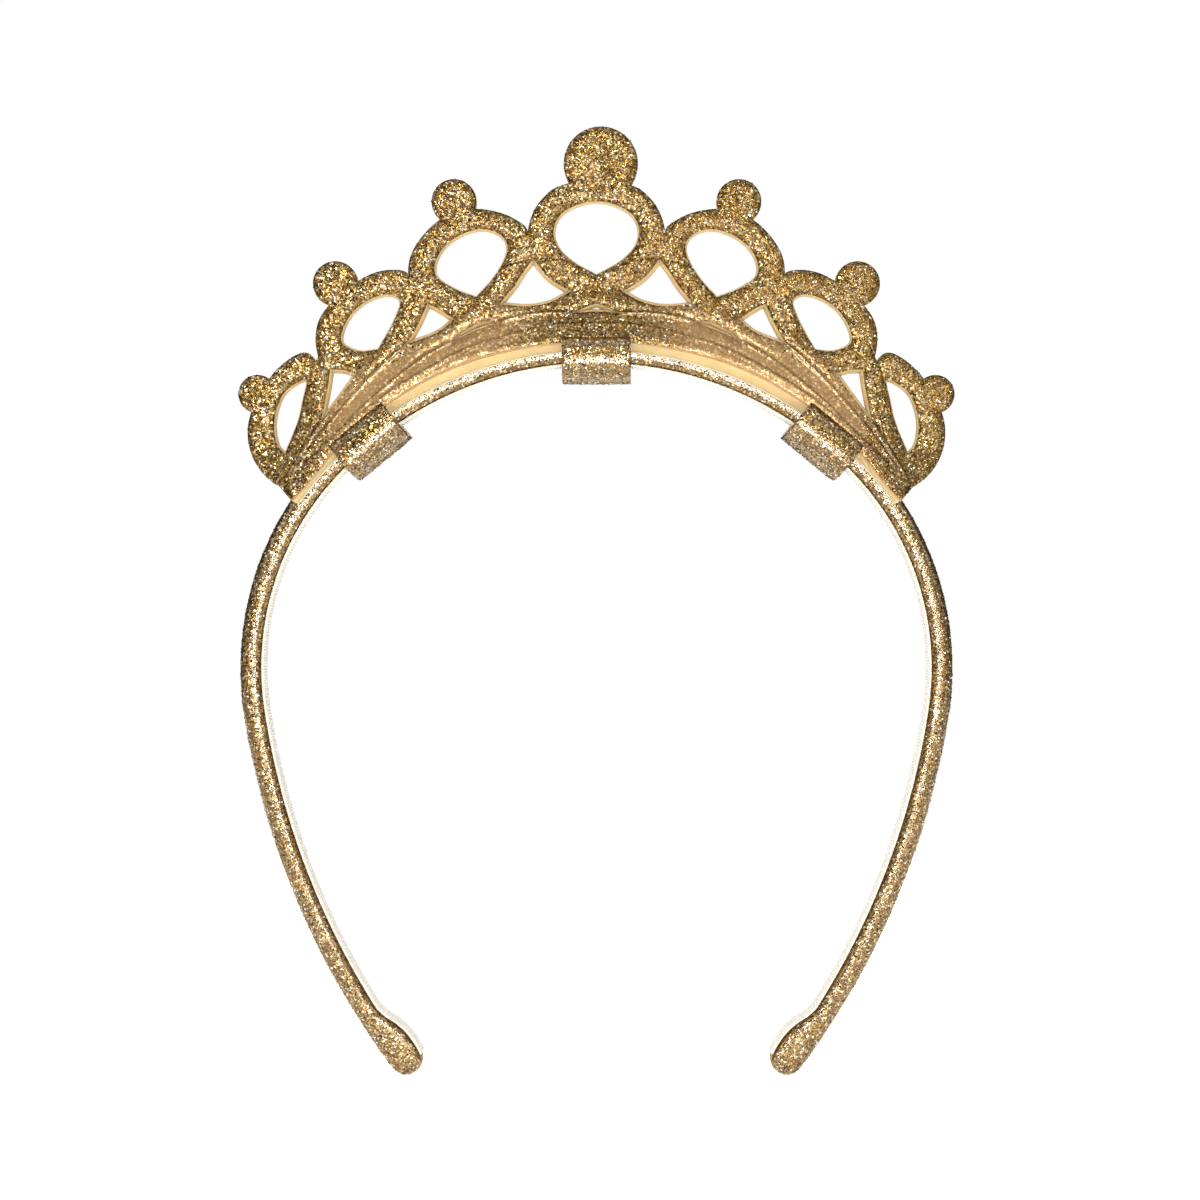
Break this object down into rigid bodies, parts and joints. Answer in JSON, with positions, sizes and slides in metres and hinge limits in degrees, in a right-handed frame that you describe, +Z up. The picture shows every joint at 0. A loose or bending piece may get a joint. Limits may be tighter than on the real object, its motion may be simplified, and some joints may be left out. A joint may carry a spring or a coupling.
{
  "type": "crown headband",
  "caption": "Soft glitter crown with looped arches and ball tops, carried by three loose loops on a springy covered headband with a ribbon lining.",
  "frame": {"origin": "centre of the band's top arc, near the middle of the wearer's head", "axes": "+Z up to the crown's tallest hoop, -Y out of the crown's face, +X to the side, along the line between the legs"},
  "size_m": [0.1316, 0.0164, 0.1747],
  "materials": {
    "glitter": "gold glitter flakes on a coated fabric",
    "ribbon": "ribbed cream ribbon",
    "foam": "soft cream foam, cut edge showing",
    "backing": "matt felt",
    "padding": "soft white foam",
    "strip": "springy plastic strip",
    "tip_pad": "firm pad"
  },
  "bodies": {
    "arch": {"arch_strip": "strip", "arch_padding": "padding", "arch_cover": "glitter", "arch_ribbon": "ribbon"},
    "left_leg": {"left_strip": "strip", "left_padding": "padding", "left_cover": "glitter", "left_ribbon": "ribbon", "left_tip_pad": "tip_pad"},
    "right_leg": {"right_strip": "strip", "right_padding": "padding", "right_cover": "glitter", "right_ribbon": "ribbon", "right_tip_pad": "tip_pad"},
    "crown": {"crown_face": "glitter", "crown_foam": "foam", "crown_backing": "backing"}
  },
  "joints": [
    {"name": "left_leg_flex", "type": "hinge", "parent": "arch", "child": "left_leg", "pos_m": [-0.05576, 0, 0.03869], "axis": [0, 1, 0], "range_deg": [-4, 12], "stiffness_Nm_per_rad": 0.5},
    {"name": "right_leg_flex", "type": "hinge", "parent": "arch", "child": "right_leg", "pos_m": [0.05576, 0, 0.03869], "axis": [0, -1, 0], "range_deg": [-4, 12], "stiffness_Nm_per_rad": 0.5},
    {"name": "crown_slide", "type": "hinge", "parent": "arch", "child": "crown", "pos_m": [0, 0, 0], "axis": [0, 1, 0], "range_deg": [-3, 3]}
  ]
}
